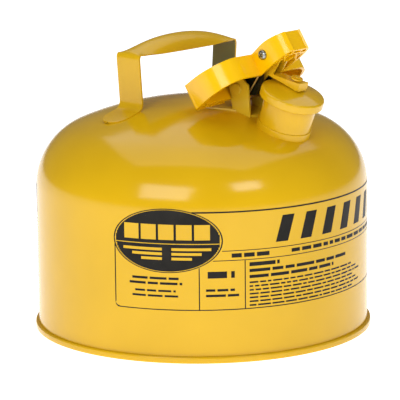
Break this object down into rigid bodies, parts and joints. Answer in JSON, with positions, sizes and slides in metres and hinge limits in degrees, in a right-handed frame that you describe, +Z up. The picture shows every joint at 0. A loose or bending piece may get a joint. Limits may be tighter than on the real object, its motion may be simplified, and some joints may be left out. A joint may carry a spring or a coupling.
{
  "type": "safety gas can",
  "caption": "Round steel fuel safety can with a fixed carry handle and a spring-closed, lever-opened spout cap with flame arrester.",
  "frame": {"origin": "centre of the base, at the height the can stands on", "axes": "+Z up, +X towards the spout, and the carry handle's grip along Y"},
  "size_m": [0.2858, 0.2858, 0.2607],
  "materials": {
    "body_paint": "glossy yellow powder coat",
    "arm_paint": "glossy yellow paint",
    "hinge_plate": "thin yellow paint over zinc plate",
    "spring_steel": "bright spring wire",
    "lever_plastic": "glossy moulded plastic",
    "chrome": "polished",
    "seal": "matt",
    "plated_steel": "satin zinc plate",
    "screen_wire": "woven wire"
  },
  "bodies": {
    "can": {"body_shell": "body_paint", "bottom_pan": "body_paint", "bottom_seam_ring": "body_paint", "spout_tube": "body_paint", "spout_base_bead": "body_paint", "pour_lip": "body_paint", "arrester_screen": "screen_wire", "arrester_collar": "plated_steel", "arrester_end": "plated_steel", "carry_handle": "body_paint", "hinge_bracket": "hinge_plate", "hinge_pin": "hinge_plate", "torsion_spring": "spring_steel"},
    "lever": {"cap_arm": "arm_paint", "trigger_lever": "lever_plastic", "lever_screw": "chrome", "lever_nut": "chrome", "relief_spring": "spring_steel"},
    "cap": {"cap_disc": "body_paint", "cap_gasket": "seal", "gasket_retainer": "plated_steel", "relief_stud": "arm_paint"}
  },
  "joints": [
    {"name": "lever_hinge", "type": "hinge", "parent": "can", "child": "lever", "pos_m": [0.053, 0, 0.2083], "axis": [0, -1, 0], "range_deg": [0, 24], "stiffness_Nm_per_rad": 0.6, "springref_deg": -51.57, "deforming": ["torsion_spring"]},
    {"name": "cap_relief", "type": "slide", "parent": "lever", "child": "cap", "axis": [0.3336, 0, 0.9427], "range_m": [0, 0.0006], "stiffness_N_per_m": 1200, "springref_m": -0.004, "deforming": ["relief_spring"]}
  ]
}
